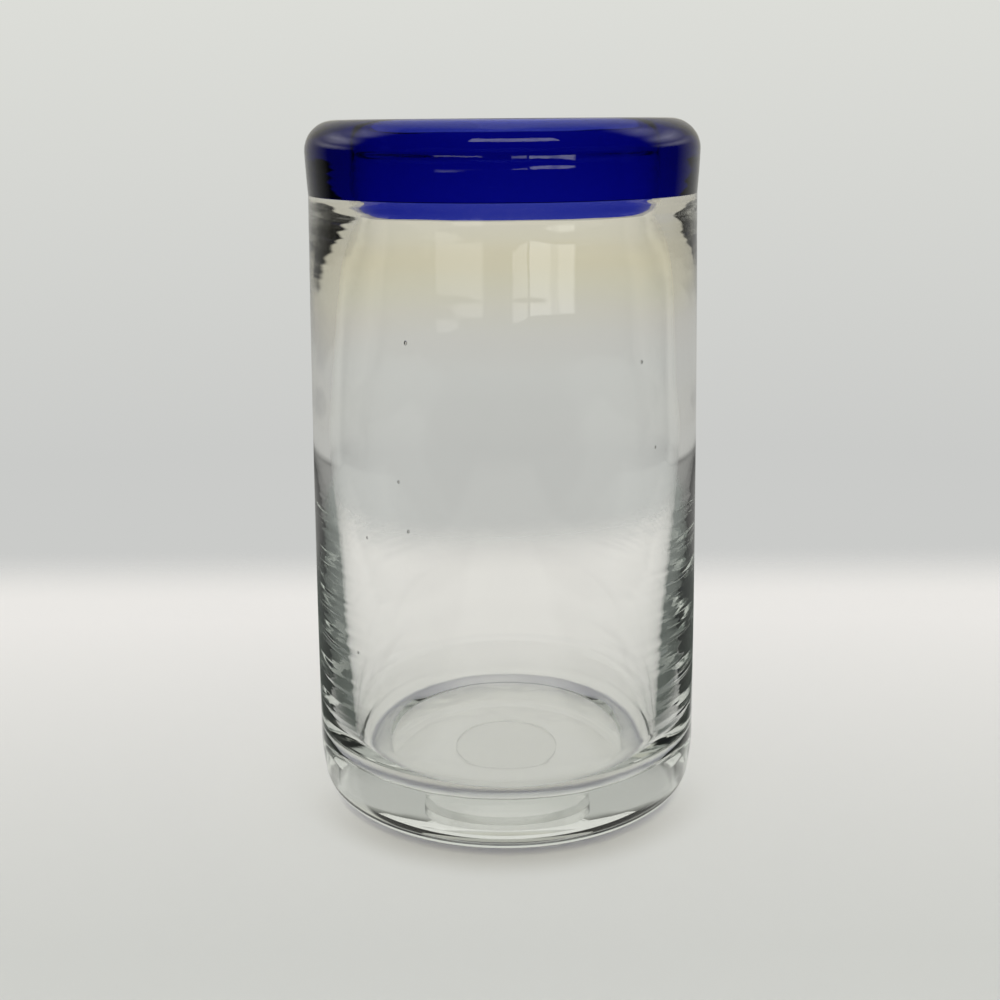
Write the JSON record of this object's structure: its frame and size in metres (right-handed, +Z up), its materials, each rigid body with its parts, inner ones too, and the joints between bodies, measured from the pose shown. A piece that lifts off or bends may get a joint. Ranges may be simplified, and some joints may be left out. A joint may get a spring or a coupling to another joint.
{
  "type": "drinking tumbler",
  "caption": "Straight-sided hand-blown drinking tumbler of thick clear glass, with a heavy foot, a pushed-up base and a rolled cobalt-blue lip.",
  "frame": {"origin": "middle of the resting face under the foot, on the axis of the glass", "axes": "+Z up along the axis of the glass, towards the lip; X and Y are alike because the glass is turned about Z"},
  "size_m": [0.0864, 0.0864, 0.15],
  "materials": {
    "clear_glass": "fire-polished clear soda-lime glass with slight tooling ripple and a few seeds",
    "cobalt_glass": "fire-polished cobalt-blue glass",
    "pontil_glass": "broken pontil glass, ground dull"
  },
  "bodies": {
    "root": {"clear_body": "clear_glass", "cobalt_lip": "cobalt_glass", "pontil_disc": "pontil_glass"}
  },
  "joints": []
}
